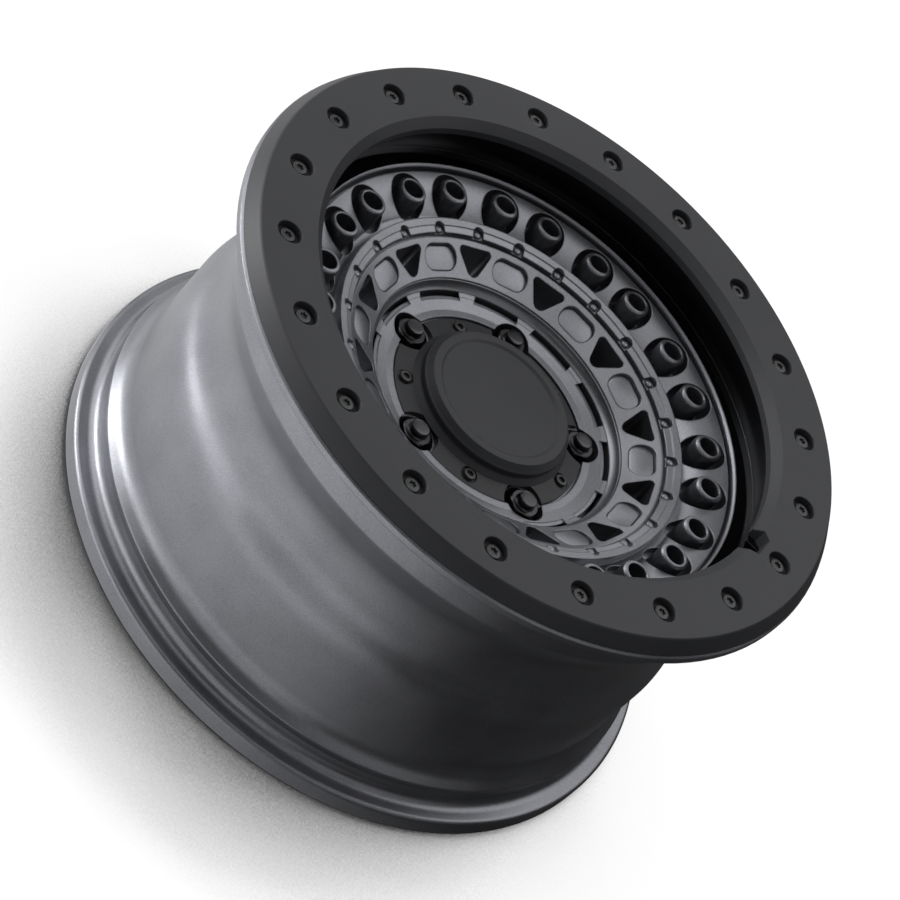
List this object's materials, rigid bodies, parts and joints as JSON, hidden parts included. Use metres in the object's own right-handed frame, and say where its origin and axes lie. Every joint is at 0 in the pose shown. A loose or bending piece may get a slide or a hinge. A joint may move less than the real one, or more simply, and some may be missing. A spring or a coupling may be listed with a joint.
{
  "type": "alloy wheel",
  "caption": "Dished off-road alloy wheel with a bolted outer ring, round bosses, a pierced web plate, lug nuts and a bare drum-shaped centre cap.",
  "frame": {"origin": "centre of the hub mounting face, on the wheel's axis", "axes": "+Z along the wheel's axis, out of its face; the wheel lies on its rear flange"},
  "size_m": [0.4719, 0.472, 0.2512],
  "materials": {
    "casting": "satin gunmetal lacquer over a fine cast skin",
    "ring_paint": "satin black powder coat",
    "screw_steel": "black oxide, satin",
    "cap_plastic": "satin black",
    "nut_steel": "glossy black plating"
  },
  "bodies": {
    "root": {"rim": "casting", "clamp_ring": "ring_paint", "ring_screws": "screw_steel", "centre_cap": "cap_plastic", "cap_screw_1": "screw_steel", "cap_screw_2": "screw_steel", "cap_screw_3": "screw_steel", "cap_screw_4": "screw_steel", "cap_screw_5": "screw_steel", "lug_nut_1": "nut_steel", "lug_nut_2": "nut_steel", "lug_nut_3": "nut_steel", "lug_nut_4": "nut_steel", "lug_nut_5": "nut_steel"}
  },
  "joints": []
}
